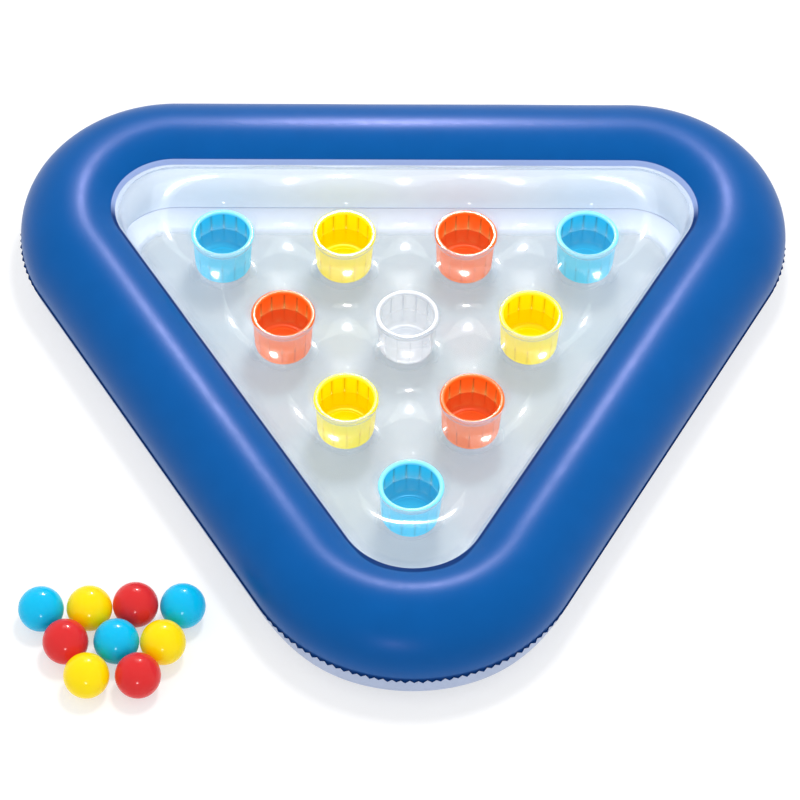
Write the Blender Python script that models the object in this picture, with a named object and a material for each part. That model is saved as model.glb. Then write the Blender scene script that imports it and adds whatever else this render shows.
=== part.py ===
"""Inflatable triangular ball toss float for a pool, with its loose balls.

A blue air ring with rounded corners holds a clear quilted air mattress. Ten cups stand in
the mattress in rows of four, three, two and one, and nine hollow balls lie beside the float.
Units are metres, +Z is up, and the corner with the single cup points to -Y.
"""

import math

import bmesh
import bpy
import numpy as np
from mathutils.geometry import delaunay_2d_cdt

# Ring: centre line of the air tube, seen from above
tube_radius = 0.081
back_corner_x = 0.350
back_corner_y = 0.291
back_corner_radius = 0.153
front_corner_y = -0.273
front_corner_radius = 0.171
corner_steps = 10
side_steps = 3

# Ring: angles round the tube, from its top, positive towards the mattress
flat_half_angle = math.radians(8)
outer_seam_angle = math.radians(-100)
top_weld_angle = math.radians(52)
lower_weld_angle = math.radians(130)
lap_angle = math.radians(5)
facet_angle = math.radians(18)

# Films and seams
tube_film = 0.0004
clear_film = 0.0003
joint_gap = 0.0003
seam_flange_width = 0.005

# Cups
cup_pitch = 0.184
cup_rows = (
    ("blue", "yellow", "orange", "blue"),
    ("orange", "clear", "yellow"),
    ("yellow", "orange"),
    ("blue",),
)
back_row_inset = 0.193
cup_rim_rise = 0.0398
cup_depth = 0.070
cup_panels = 14
cup_radius = 0.0452
cup_taper = 0.0006
cup_wall = 0.0012
cup_floor_thickness = 0.0012
cup_base_edge = 0.0012
cup_ledge_depth = 0.040
cup_ledge_width = 0.0006
lip_overhang = 0.0023
lip_inset = 0.0035
lip_height = 0.005
lip_edge = 0.0015

# Quilted mattress films
film_weld_drop = 0.003
quilt_shoulder_width = 0.014
top_quilt_spacing = 0.036
top_quilt_rise = 0.0175
lower_quilt_spacing = 0.052
lower_quilt_drop = 0.0222
base_weld_inset = 0.009
base_weld_points = 8
quilt_margin = 0.014

# Balls, in a loose group beside the front left side of the ring
ball_radius = 0.0325
ball_wall = 0.0012
ball_pin_hole_radius = 0.0012
ball_meridians = 14
ball_parallels = 7
ball_group_standoff = 0.1911
ball_group_side_share = 0.896
ball_place_shares = (
    ("blue", -1.668, 0.857),
    ("yellow", -0.614, 0.875),
    ("red", 0.388, 0.968),
    ("blue", 1.423, 0.935),
    ("red", -1.100, -0.008),
    ("blue", 0.0, 0.0),
    ("yellow", 1.011, -0.026),
    ("yellow", -0.615, -0.892),
    ("red", 0.492, -0.892),
)

# Valves: one behind the ring, one under the mattress near its front corner
ring_valve_x = 0.180
mattress_valve_inset = 0.114
valve_bore_radius = 0.00405
valve_wall = 0.00145
valve_clearance = 0.0004
valve_stem_length = 0.012
valve_flange_thickness = 0.0008
valve_flange_margin = 0.0006
valve_seat_margin = 0.002
valve_sides = 16
stopper_hinge_reach = 0.00435
stopper_cap_overlap = 0.00175
stopper_cap_thickness = 0.0014
stopper_clearance = 0.0003
stopper_plug_length = 0.0040
stopper_strap_width = 0.0040
stopper_strap_thickness = 0.0008
stopper_strap_overlap = 0.0015
hinge_post_width = 0.0055
hinge_post_length = 0.0008

# Modelling tolerances
merge_distance = 0.000001
delaunay_tolerance = 0.00001
smooth_angle = math.radians(40)

# Heights and radii that follow from the sizes above
tube_height = tube_radius * math.cos(flat_half_angle)
back_line_y = back_corner_y + back_corner_radius
lap_radius = tube_radius + joint_gap + clear_film / 2
cup_rim_height = tube_height + cup_rim_rise
cup_base_height = cup_rim_height - cup_depth
cup_film_height = cup_rim_height - lip_height - lip_edge - film_weld_drop
cup_hole_radius = cup_radius + joint_gap + clear_film
quilt_shoulder_radius = cup_hole_radius + quilt_shoulder_width
base_weld_radius = cup_radius - base_weld_inset
base_film_height = cup_base_height - joint_gap - clear_film / 2
top_fullness = 8 * top_quilt_rise / (cup_pitch - 2 * cup_hole_radius) ** 2
lower_fullness = 8 * lower_quilt_drop / (cup_pitch - 2 * base_weld_radius) ** 2
mattress_valve_y = front_corner_y - front_corner_radius + mattress_valve_inset
mattress_valve_height = tube_height + lap_radius * math.cos(lower_weld_angle)
valve_stem_radius = valve_bore_radius + valve_wall
valve_hole_radius = valve_stem_radius + valve_clearance
stopper_hinge_offset = valve_bore_radius + stopper_hinge_reach
hinge_post_start = stopper_hinge_offset + stopper_strap_thickness / 2 + joint_gap
valve_flange_radius = hinge_post_start + hinge_post_length + valve_flange_margin
valve_seat_radius = valve_flange_radius + valve_seat_margin

colours = {
    "ring_blue": (0.012, 0.107, 0.402),
    "ring_white": (0.60, 0.64, 0.76),
    "wall_white": (0.72, 0.78, 0.86),
    "film_clear": (0.80, 0.86, 0.92),
    "cup_blue": (0.045, 0.52, 0.86),
    "cup_yellow": (1.0, 0.76, 0.0),
    "cup_orange": (1.0, 0.12, 0.012),
    "cup_clear": (0.84, 0.87, 0.91),
    "ball_blue": (0.0, 0.50, 0.87),
    "ball_yellow": (0.94, 0.69, 0.01),
    "ball_red": (0.70, 0.010, 0.035),
    "valve_clear": (0.80, 0.84, 0.90),
}
see_through = {"film_clear": 0.3, "cup_clear": 0.5, "wall_white": 0.7, "valve_clear": 0.7}


def clear_scene():
    for item in list(bpy.data.objects):
        bpy.data.objects.remove(item, do_unlink=True)


def vinyl(slot):
    """Glossy soft vinyl in the colour of one material slot."""
    material = bpy.data.materials.get(slot)
    if material:
        return material
    material = bpy.data.materials.new(slot)
    material.use_nodes = True
    shader = material.node_tree.nodes["Principled BSDF"]
    shader.inputs["Base Color"].default_value = (*colours[slot], 1.0)
    shader.inputs["Roughness"].default_value = 0.25
    shader.inputs["Metallic"].default_value = 0.0
    shader.inputs["Alpha"].default_value = see_through.get(slot, 1.0)
    return material


def make_object(name, shape, slot=None):
    """Turn a bmesh into a scene object; one without a slot is a modelling aid."""
    mesh = bpy.data.meshes.new(name)
    shape.to_mesh(mesh)
    shape.free()
    mesh.shade_smooth()
    mesh.set_sharp_from_angle(angle=smooth_angle)
    item = bpy.data.objects.new(name, mesh)
    bpy.context.collection.objects.link(item)
    if slot:
        mesh.materials.append(vinyl(slot))
    else:
        item.hide_render = True
        item.display_type = "WIRE"
    return item


def sweep(stations, section, closed=True):
    """Carry a section of (outward, height) points round a closed row of stations."""
    shape = bmesh.new()
    loops = []
    for x, y, out_x, out_y in stations:
        loops.append([shape.verts.new((x + out_x * out, y + out_y * out, height))
                      for out, height in section])
    count = len(section)
    bands = count if closed else count - 1
    for here, there in zip(loops, loops[1:] + loops[:1]):
        for first in range(bands):
            second = (first + 1) % count
            shape.faces.new((here[first], there[first], there[second], here[second]))
    bmesh.ops.remove_doubles(shape, verts=shape.verts, dist=merge_distance)
    bmesh.ops.recalc_face_normals(shape, faces=shape.faces)
    return shape


def circle_stations(count):
    angles = [2 * math.pi * step / count for step in range(count)]
    return [(0.0, 0.0, math.cos(angle), math.sin(angle)) for angle in angles]


def block(low, high):
    """Closed box between two corners."""
    shape = bmesh.new()
    bmesh.ops.create_cube(shape, size=1.0)
    for vert in shape.verts:
        for axis in range(3):
            middle = (low[axis] + high[axis]) / 2
            vert.co[axis] = middle + vert.co[axis] * (high[axis] - low[axis])
    return shape


def boolean(item, aid, operation):
    modifier = item.modifiers.new(aid.name, "BOOLEAN")
    modifier.operation = operation
    modifier.solver = "EXACT"
    modifier.object = aid


def side_normal(start, end):
    """Outward angle of the tangent that joins two corner circles, going anticlockwise."""
    run_x = end[0] - start[0]
    run_y = end[1] - start[1]
    lean = math.asin((start[2] - end[2]) / math.hypot(run_x, run_y))
    return math.atan2(run_y, run_x) - math.pi / 2 + lean


def ring_corners():
    """Centre and radius of the front, right and left corners of the tube's centre line."""
    return [
        (0.0, front_corner_y, front_corner_radius),
        (back_corner_x, back_corner_y, back_corner_radius),
        (-back_corner_x, back_corner_y, back_corner_radius),
    ]


def ring_stations():
    """Points and outward directions along the rounded triangle of the tube's centre line."""
    corners = ring_corners()
    normals = [side_normal(corners[side], corners[(side + 1) % 3]) for side in range(3)]
    stations = []
    for side in range(3):
        centre_x, centre_y, radius = corners[side]
        first = normals[side - 1]
        turn = (normals[side] - first) % (2 * math.pi)
        for step in range(corner_steps + 1):
            angle = first + turn * step / corner_steps
            out_x, out_y = math.cos(angle), math.sin(angle)
            stations.append((centre_x + radius * out_x, centre_y + radius * out_y, out_x, out_y))
        start = stations[-1]
        next_x, next_y, next_radius = corners[(side + 1) % 3]
        end_x = next_x + next_radius * start[2]
        end_y = next_y + next_radius * start[3]
        for step in range(1, side_steps):
            share = step / side_steps
            stations.append((start[0] + (end_x - start[0]) * share,
                             start[1] + (end_y - start[1]) * share, start[2], start[3]))
    return stations


def tube_point(radius, angle, shift=0.0):
    """Section point at an angle round the tube, moved along the tube's skin by shift."""
    outward = -radius * math.sin(angle) - shift * math.cos(angle)
    height = tube_height + radius * math.cos(angle) - shift * math.sin(angle)
    return outward, height


def arc_angles(first, last, marks=()):
    """Angles of a tube film's facets between two ends, with a corner at every mark."""
    stops = [first, *marks, last]
    angles = [first]
    for here, there in zip(stops, stops[1:]):
        steps = max(1, round((there - here) / facet_angle))
        angles += [here + (there - here) * step / steps for step in range(1, steps + 1)]
    return angles


def ring_top_sheet(stations):
    """Blue film over the top of the ring, from the outer seam flange to the mattress weld."""
    seat = math.radians(-90)
    angles = arc_angles(seat - flat_half_angle, top_weld_angle,
                        (seat + flat_half_angle, 0.0, top_weld_angle - lap_angle))
    inner_radius = tube_radius - tube_film
    flange_radius = tube_radius + seam_flange_width
    under = joint_gap / 2
    over = under + tube_film
    section = [tube_point(flange_radius, outer_seam_angle, under),
               tube_point(inner_radius, outer_seam_angle, under)]
    section += [tube_point(inner_radius, angle) for angle in angles]
    section += [tube_point(tube_radius, angle) for angle in reversed(angles)]
    section += [tube_point(tube_radius, outer_seam_angle, over),
                tube_point(flange_radius, outer_seam_angle, over)]
    sheet = make_object("ring_top_sheet", sweep(stations, section), "ring_blue")
    cutter_section = [(0.0, -valve_stem_length), (valve_hole_radius, -valve_stem_length),
                      (valve_hole_radius, valve_stem_length), (0.0, valve_stem_length)]
    cutter = make_object("valve_hole_cutter",
                         sweep(circle_stations(valve_sides), cutter_section, closed=False))
    cutter.parent = ring_valve_seat()
    boolean(sheet, cutter, "DIFFERENCE")


def ring_bottom_sheet(stations):
    """White film under the ring, with the flat foot that the float stands on."""
    seam_angle = 2 * math.pi + outer_seam_angle
    angles = arc_angles(lower_weld_angle, seam_angle - lap_angle / 2,
                        (lower_weld_angle + lap_angle, math.pi - flat_half_angle,
                         math.pi + flat_half_angle))
    inner_radius = tube_radius - tube_film
    flange_radius = tube_radius + seam_flange_width
    over = -joint_gap / 2
    under = over - tube_film
    section = [tube_point(tube_radius, angle) for angle in angles]
    section += [tube_point(tube_radius, seam_angle, under),
                tube_point(flange_radius, seam_angle, under),
                tube_point(flange_radius, seam_angle, over),
                tube_point(inner_radius, seam_angle, over)]
    section += [tube_point(inner_radius, angle) for angle in reversed(angles)]
    make_object("ring_bottom_sheet", sweep(stations, section), "ring_white")


def ring_inner_wall(stations):
    """Film strip that parts the ring's air from the mattress's air, lapped inside both sheets."""
    angles = arc_angles(top_weld_angle - lap_angle, lower_weld_angle + lap_angle,
                        (top_weld_angle, lower_weld_angle))
    outer_radius = tube_radius - tube_film - joint_gap
    inner_radius = outer_radius - tube_film
    section = [tube_point(outer_radius, angle) for angle in angles]
    section += [tube_point(inner_radius, angle) for angle in reversed(angles)]
    make_object("ring_inner_wall", sweep(stations, section), "wall_white")


def cup_centres():
    """Name colour and plan position of each cup, from the back row to the front corner."""
    row_pitch = cup_pitch * math.sqrt(3) / 2
    centres = []
    for row, row_colours in enumerate(cup_rows):
        y = back_line_y - back_row_inset - row_pitch * row
        for place, colour in enumerate(row_colours):
            x = cup_pitch * (place - (len(row_colours) - 1) / 2)
            centres.append((f"cup_{row + 1}{place + 1}_{colour}", colour, x, y))
    return centres


def circle_points(centre_x, centre_y, radius, count):
    return [(centre_x + radius * out_x, centre_y + radius * out_y)
            for _, _, out_x, out_y in circle_stations(count)]


def tube_loop(stations, angle):
    """Loop of points just off the tube's skin, where a mattress film is welded to it."""
    outward, height = tube_point(lap_radius, angle)
    return [(x + out_x * outward, y + out_y * outward, height)
            for x, y, out_x, out_y in stations]


def free_lattice(spacing, weld, stations, rounds):
    """Triangular lattice of points inside the weld loop that keeps clear of every round weld."""
    reach = back_corner_x + back_corner_radius
    rise = spacing * math.sqrt(3) / 2
    rows = int(reach / rise)
    columns = int(reach / spacing)
    points = []
    for row in range(-rows, rows + 1):
        for column in range(-columns, columns + 1):
            x = spacing * (column + (row % 2) / 2)
            y = rise * row
            inside = all((x - px) * out_x + (y - py) * out_y < -quilt_margin
                         for (px, py, _), (_, _, out_x, out_y) in zip(weld, stations))
            clear = all(math.hypot(x - cx, y - cy) > radius + quilt_margin
                        for cx, cy, radius in rounds)
            if inside and clear:
                points.append((x, y))
    return points


def inflate(points, triangles, heights, fixed, fullness):
    """Heights of a film under air pressure between its fixed points."""
    count = len(points)
    stiffness = np.zeros((count, count))
    load = np.zeros(count)
    for triangle in triangles:
        corners = points[triangle]
        edges = corners[[2, 0, 1]] - corners[[1, 2, 0]]
        area = abs(edges[0][0] * edges[1][1] - edges[0][1] * edges[1][0]) / 2
        stiffness[np.ix_(triangle, triangle)] += edges @ edges.T / (4 * area)
        load[triangle] += fullness * area / 3
    free = ~fixed
    pull = load[free] - stiffness[np.ix_(free, fixed)] @ heights[fixed]
    heights[free] = np.linalg.solve(stiffness[np.ix_(free, free)], pull)
    return heights


def film(name, lap, weld, held_loops, held_points, free_points, openings, fullness):
    """Quilted film from a weld lap on the tube across the mattress, as a thin closed sheet."""
    flat = [(x, y) for x, y, _ in weld]
    known = [height for _, _, height in weld]
    edges = [(step, (step + 1) % len(weld)) for step in range(len(weld))]
    for loop, height in held_loops:
        start = len(flat)
        flat += loop
        known += [height] * len(loop)
        edges += [(start + step, start + (step + 1) % len(loop)) for step in range(len(loop))]
    for point, height in held_points:
        flat.append(point)
        known.append(height)
    flat += free_points
    plan, _, faces, sources, _, _ = delaunay_2d_cdt(flat, edges, [], 1, delaunay_tolerance)
    points = np.array([tuple(point) for point in plan])
    fixed = np.array([source[0] < len(known) for source in sources])
    heights = np.array([known[source[0]] if source[0] < len(known) else 0.0
                        for source in sources])
    triangles = []
    for face in faces:
        middle = points[list(face)].mean(axis=0)
        if all(math.hypot(middle[0] - x, middle[1] - y) > radius for x, y, radius in openings):
            triangles.append(list(face))
    heights = inflate(points, triangles, heights, fixed, fullness)
    shape = bmesh.new()
    verts = [shape.verts.new((x, y, height)) for (x, y), height in zip(points, heights)]
    for triangle in triangles:
        shape.faces.new([verts[corner] for corner in triangle])
    place = {source[0]: vert for source, vert in zip(sources, verts)}
    lap_verts = [shape.verts.new(point) for point in lap]
    for step in range(len(lap)):
        after = (step + 1) % len(lap)
        shape.faces.new((lap_verts[step], lap_verts[after], place[after], place[step]))
    bmesh.ops.recalc_face_normals(shape, faces=shape.faces)
    sheet = make_object(name, shape, "film_clear")
    thickness = sheet.modifiers.new("film thickness", "SOLIDIFY")
    thickness.thickness = clear_film
    thickness.offset = 0.0


def mattress_top_sheet(stations):
    """Clear top film, welded round the neck of every cup and along the ring."""
    weld = tube_loop(stations, top_weld_angle)
    lap = tube_loop(stations, top_weld_angle - lap_angle)
    centres = [(x, y) for _, _, x, y in cup_centres()]
    held = [(circle_points(x, y, cup_hole_radius, cup_panels), cup_film_height)
            for x, y in centres]
    shoulders = [point for x, y in centres
                 for point in circle_points(x, y, quilt_shoulder_radius, cup_panels)]
    rounds = [(x, y, quilt_shoulder_radius) for x, y in centres]
    free = shoulders + free_lattice(top_quilt_spacing, weld, stations, rounds)
    openings = [(x, y, cup_hole_radius) for x, y in centres]
    film("mattress_top_sheet", lap, weld, held, [], free, openings, top_fullness)


def mattress_bottom_sheet(stations):
    """Clear bottom film, welded flat under every cup, with the mattress valve's seat."""
    weld = tube_loop(stations, lower_weld_angle)
    lap = tube_loop(stations, lower_weld_angle + lap_angle)
    centres = [(x, y) for _, _, x, y in cup_centres()]
    held = [(circle_points(x, y, base_weld_radius, base_weld_points), base_film_height)
            for x, y in centres]
    for radius in (valve_seat_radius, valve_hole_radius):
        held.append((circle_points(0.0, mattress_valve_y, radius, valve_sides),
                     mattress_valve_height))
    middles = [(centre, base_film_height) for centre in centres]
    rounds = [(x, y, base_weld_radius) for x, y in centres]
    rounds.append((0.0, mattress_valve_y, valve_seat_radius))
    free = free_lattice(lower_quilt_spacing, weld, stations, rounds)
    openings = [(0.0, mattress_valve_y, valve_hole_radius)]
    film("mattress_bottom_sheet", lap, weld, held, middles, free, openings, -lower_fullness)


def cup_section():
    """Half section of a cup, from the middle of its base round the lip to its floor."""
    base = cup_radius - cup_taper
    inside = cup_radius - cup_wall
    neck = cup_depth - lip_height
    ledge = cup_depth - cup_ledge_depth
    ledge_radius = inside - cup_taper / 2
    lip_outside = cup_radius + lip_overhang
    lip_inside = inside - lip_inset
    return [
        (0.0, 0.0),
        (base - cup_base_edge, 0.0),
        (base, cup_base_edge),
        (cup_radius, neck - lip_edge),
        (lip_outside, neck),
        (lip_outside, cup_depth - lip_edge),
        (lip_outside - lip_edge, cup_depth),
        (lip_inside + lip_edge, cup_depth),
        (lip_inside, cup_depth - lip_edge),
        (inside, neck - lip_edge),
        (ledge_radius, ledge),
        (ledge_radius - cup_ledge_width, ledge - cup_ledge_width),
        (base - cup_wall - cup_ledge_width, cup_floor_thickness),
        (0.0, cup_floor_thickness),
    ]


def cups():
    """One many-sided cup at each place of the triangle, welded into the mattress."""
    for name, colour, x, y in cup_centres():
        shape = sweep(circle_stations(cup_panels), cup_section(), closed=False)
        cup = make_object(name, shape, f"cup_{colour}")
        cup.location = (x, y, cup_base_height)


def ball_arc(radius):
    """Half circle of (outward, height) points from the pin hole under a ball to its top."""
    first = math.asin(ball_pin_hole_radius / radius)
    turns = [first + (math.pi - first) * step / ball_parallels
             for step in range(ball_parallels + 1)]
    return [(radius * math.sin(turn), -radius * math.cos(turn)) for turn in turns]


def hollow_ball():
    """Outer and inner skins of a ball, joined round the moulding pin hole."""
    shape = bmesh.new()
    rims = []
    for radius in (ball_radius, ball_radius - ball_wall):
        arc = ball_arc(radius)
        loops = [[shape.verts.new((out_x * out, out_y * out, height)) for out, height in arc]
                 for _, _, out_x, out_y in circle_stations(ball_meridians)]
        rims.append([loop[0] for loop in loops])
        for here, there in zip(loops, loops[1:] + loops[:1]):
            for step in range(ball_parallels):
                shape.faces.new((here[step], there[step], there[step + 1], here[step + 1]))
    outer, inner = rims
    for step in range(ball_meridians):
        after = (step + 1) % ball_meridians
        shape.faces.new((outer[step], outer[after], inner[after], inner[step]))
    bmesh.ops.remove_doubles(shape, verts=shape.verts, dist=merge_distance)
    bmesh.ops.recalc_face_normals(shape, faces=shape.faces)
    return shape


def ball_group_middle():
    """Point beside the left side of the ring that the middle ball stands on."""
    front, _, left = ring_corners()
    angle = side_normal(left, front)
    out_x, out_y = math.cos(angle), math.sin(angle)
    starts = [(x + radius * out_x, y + radius * out_y) for x, y, radius in (left, front)]
    standoff = tube_radius + ball_group_standoff
    (left_x, left_y), (front_x, front_y) = starts
    return (left_x + (front_x - left_x) * ball_group_side_share + out_x * standoff,
            left_y + (front_y - left_y) * ball_group_side_share + out_y * standoff)


def balls():
    """Loose balls on the ground, each with its origin at its centre."""
    middle_x, middle_y = ball_group_middle()
    for number, (colour, x_share, y_share) in enumerate(ball_place_shares, start=1):
        ball = make_object(f"ball_{number}_{colour}", hollow_ball(), f"ball_{colour}")
        ball.location = (middle_x + 2 * ball_radius * x_share,
                         middle_y + 2 * ball_radius * y_share, ball_radius)


def seat_empty(name, location, rotation):
    """Empty on a film's outer face whose own +Z points out of the float."""
    seat = bpy.data.objects.get(name)
    if not seat:
        seat = bpy.data.objects.new(name, None)
        bpy.context.collection.objects.link(seat)
        seat.location = location
        seat.rotation_euler = rotation
    return seat


def ring_valve_seat():
    """Seat on the flat facet of the tube's rear side, level with the tube's centre."""
    face = back_line_y + tube_radius * math.cos(flat_half_angle)
    return seat_empty("ring_valve_seat", (ring_valve_x, face, tube_height),
                      (math.radians(-90), 0.0, 0.0))


def mattress_valve_seat():
    """Seat under the flat disc of the mattress's bottom film."""
    face = mattress_valve_height - clear_film / 2
    return seat_empty("mattress_valve_seat", (0.0, mattress_valve_y, face),
                      (math.radians(180), 0.0, 0.0))


def valve(name, seat):
    """Flanged valve tube with a hinge post, and its stopper turning about the strap's end."""
    bottom = joint_gap
    top = bottom + valve_flange_thickness
    section = [(valve_bore_radius, -valve_stem_length), (valve_stem_radius, -valve_stem_length),
               (valve_stem_radius, bottom), (valve_flange_radius, bottom),
               (valve_flange_radius, top), (valve_bore_radius, top)]
    body = make_object(f"{name}_body", sweep(circle_stations(valve_sides), section),
                       "valve_clear")
    body.parent = seat
    axis_height = top + joint_gap + stopper_strap_thickness / 2
    sunk = top - valve_flange_thickness / 2
    post = make_object(f"{name}_post", block(
        (hinge_post_start, -hinge_post_width / 2, sunk),
        (hinge_post_start + hinge_post_length, hinge_post_width / 2, axis_height)))
    post.parent = seat
    boolean(body, post, "UNION")
    stopper(name, seat, axis_height)


def plug_radius(depth):
    """Widest plug that still swings out of the bore, at a depth below the hinge axis."""
    swing = stopper_hinge_offset + valve_bore_radius
    return math.sqrt(swing ** 2 - depth ** 2) - stopper_hinge_offset - stopper_clearance


def stopper(name, seat, axis_height):
    """Cap, tapered plug and strap in one piece, with its origin on the hinge axis."""
    low = -stopper_strap_thickness / 2
    tip = low - stopper_plug_length
    cap_radius = valve_bore_radius + stopper_cap_overlap
    section = [(0.0, tip), (plug_radius(tip), tip), (plug_radius(low), low), (cap_radius, low),
               (cap_radius, low + stopper_cap_thickness), (0.0, low + stopper_cap_thickness)]
    shape = sweep(circle_stations(valve_sides), section, closed=False)
    bmesh.ops.translate(shape, verts=shape.verts, vec=(-stopper_hinge_offset, 0.0, 0.0))
    plug = make_object(f"{name}_stopper", shape, "valve_clear")
    plug.parent = seat
    plug.location = (stopper_hinge_offset, 0.0, axis_height)
    strap_start = cap_radius - stopper_hinge_offset - stopper_strap_overlap
    strap = make_object(f"{name}_strap", block(
        (strap_start, -stopper_strap_width / 2, low),
        (stopper_strap_thickness / 2, stopper_strap_width / 2, low + stopper_strap_thickness)))
    strap.parent = plug
    boolean(plug, strap, "UNION")


def build():
    clear_scene()
    stations = ring_stations()
    ring_top_sheet(stations)
    ring_bottom_sheet(stations)
    ring_inner_wall(stations)
    mattress_top_sheet(stations)
    mattress_bottom_sheet(stations)
    cups()
    balls()
    valve("ring_valve", ring_valve_seat())
    valve("mattress_valve", mattress_valve_seat())
    bpy.context.view_layer.update()


build()
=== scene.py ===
"""Looks of an inflatable triangular ball toss float for a pool, with its loose balls."""

import math

import bpy
import numpy as np
from mathutils import Matrix, Vector
from mathutils.geometry import delaunay_2d_cdt

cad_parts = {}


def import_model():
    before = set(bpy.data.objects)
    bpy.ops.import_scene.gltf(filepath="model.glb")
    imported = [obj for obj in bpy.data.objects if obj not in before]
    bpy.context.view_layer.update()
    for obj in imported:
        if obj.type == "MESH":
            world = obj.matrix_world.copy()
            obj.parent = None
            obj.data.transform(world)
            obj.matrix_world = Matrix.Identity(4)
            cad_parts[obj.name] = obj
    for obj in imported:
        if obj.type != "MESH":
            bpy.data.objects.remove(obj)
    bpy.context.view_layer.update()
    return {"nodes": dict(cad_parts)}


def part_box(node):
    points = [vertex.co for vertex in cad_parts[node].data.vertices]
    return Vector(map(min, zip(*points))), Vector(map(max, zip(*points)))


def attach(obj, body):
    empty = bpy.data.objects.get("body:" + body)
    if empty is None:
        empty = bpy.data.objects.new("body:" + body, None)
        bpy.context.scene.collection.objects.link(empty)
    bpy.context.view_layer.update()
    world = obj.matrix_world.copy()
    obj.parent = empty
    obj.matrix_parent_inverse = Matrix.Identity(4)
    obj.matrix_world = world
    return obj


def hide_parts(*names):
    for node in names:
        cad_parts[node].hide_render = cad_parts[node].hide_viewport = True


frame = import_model()

deg = math.radians

# Ring, as in the CAD model. Angles round its tube start at the top, positive towards the cups
TUBE = 0.081
BACK_X, BACK_Y, BACK_R = 0.350, 0.291, 0.153
FRONT_Y, FRONT_R = -0.273, 0.171
CORNERS = [(0.0, FRONT_Y, FRONT_R), (BACK_X, BACK_Y, BACK_R), (-BACK_X, BACK_Y, BACK_R)]
FLAT_REACH = TUBE * math.cos(deg(8))
CENTRE_Z = FLAT_REACH
SEAM = deg(-100)
LOW_SEAM = 2 * math.pi + SEAM
WELD = deg(52)
LOW_WELD = deg(130)
SHEET = 0.0004
FLANGE = 0.0021
SEAM_GAP = 0.00015
LINING = TUBE - 0.001

# Outer seam: teeth in the corners, and how far the front corner lets it down and fills below it
TOOTH = 0.0126
TOOTH_OUT = 0.00165
TOOTH_LIFT = 0.0008
BEND_FADE = 0.06
LET_DOWN = deg(5)
FRONT_FILL = 0.0105

# Skin of the ring: slow unevenness, puckers at the outer seam and a groove at the inner hem
SWELL = 0.0002
SWELL_FADE = 0.02
PUCKER = 0.0007
PUCKER_REACH = 0.006
HEM = deg(45.6)
HEM_GROOVE = 0.0005

# Cups
CUP_R = 0.0452
CUP_DEPTH = 0.070
CUP_WALL = 0.0012
PANELS = 14
CREASE_DEPTH = 0.0005
RIM_Z = CENTRE_Z + 0.0398
BASE_Z = RIM_Z - CUP_DEPTH
FILM_Z = RIM_Z - 0.0095
HOLE_R = 0.0458
BASE_R = 0.036

# Films of the mattress: loads, folds between the cups and the strip that lies on the tube
FILM = 0.0003
TOP_EDGE = deg(57)
TOP_LOAD = 14.2
TOP_EDGE_LOAD = 31.0
TOP_EDGE_REACH = 0.019
TOP_TIE = 8000.0
TIE_Z = 0.137
TIE_WIDTH = 0.008
NEXT_CUP = 0.2
TOP_SPACING = 0.0062
LOW_LOAD = -13.0
LOW_SPACING = 0.0075
LOW_REST = 0.0012
TOP_LAP = [(TUBE - 0.0001, 55), (TUBE - 0.0002, 53.2), (TUBE - 0.0007, 51.6), (TUBE - 0.0007, 49)]
WELD_LINE = 0.0026

VALVE_X = 0.180
LOW_VALVE_Y = -0.330
VALVE_HOLE_R = 0.0062
VALVE_WELD_R = 0.0125
BALL_R = 0.0325
BALL_WALL = 0.0012
BALL_SEAM = 0.00012
PIN_HOLE_R = 0.0012

WHITE = (1.0, 1.0, 1.0, 1.0)
LAMP = (1.0, 0.99, 0.98)

# Angle of one crease of each cup from its back, in degrees, to the right
CREASES = {
    "cup_11_blue": 1, "cup_12_yellow": 4, "cup_13_orange": 8, "cup_14_blue": -3,
    "cup_21_orange": 2, "cup_22_clear": -6, "cup_23_yellow": 6, "cup_31_yellow": -2,
    "cup_32_orange": 5, "cup_41_blue": -7.5,
}


# Materials

def feed(made, values):
    """Link or set the inputs of a node."""
    for key, value in values.items():
        if isinstance(value, bpy.types.NodeSocket):
            made.id_data.links.new(value, made.inputs[key])
        else:
            made.inputs[key].default_value = value


def node(tree, kind, values=None, **settings):
    made = tree.nodes.new(kind)
    for key, value in settings.items():
        setattr(made, key, value)
    feed(made, values or {})
    return made


def noise(coords, scale, detail=2.0):
    return node(coords.id_data, "ShaderNodeTexNoise",
                {"Scale": scale, "Detail": detail, "Vector": coords}).outputs["Fac"]


def remap(value, low, high, start=0.0, end=1.0):
    values = {"From Min": start, "From Max": end, "To Min": low, "To Max": high, "Value": value}
    return node(value.id_data, "ShaderNodeMapRange", values).outputs["Result"]


def math_node(operation, first, second=0.5):
    return node(first.id_data, "ShaderNodeMath", {0: first, 1: second},
                operation=operation).outputs[0]


def times(first, second):
    return math_node("MULTIPLY", first, second)


def plus(first, second):
    return math_node("ADD", first, second)


def attribute(tree, name):
    return node(tree, "ShaderNodeAttribute", attribute_name=name).outputs["Fac"]


def mix_colour(share, first, second):
    return node(share.id_data, "ShaderNodeMix", {0: share, 6: first, 7: second},
                data_type="RGBA").outputs[2]


def mix_shader(share, first, second):
    return node(share.id_data, "ShaderNodeMixShader",
                {0: share, 1: first.outputs[0], 2: second.outputs[0]})


def object_coords(tree):
    return node(tree, "ShaderNodeTexCoord").outputs["Object"]


def bump(coords, strength, depth, scale, detail=1.0):
    """Normal of a surface with a fine unevenness."""
    return node(coords.id_data, "ShaderNodeBump",
                {"Strength": strength, "Distance": depth,
                 "Height": noise(coords, scale, detail)}).outputs["Normal"]


def weld_lines(tree, low):
    """Fine lines across a weld, from low to 1."""
    turns = times(attribute(tree, "run"), 2 * math.pi / WELD_LINE)
    return remap(math_node("SINE", turns), low, 1.0, -1.0, 1.0)


def show(shader):
    """Send a shader to the material's surface."""
    feed(shader.id_data.nodes["Material Output"], {"Surface": shader.outputs[0]})


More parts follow.
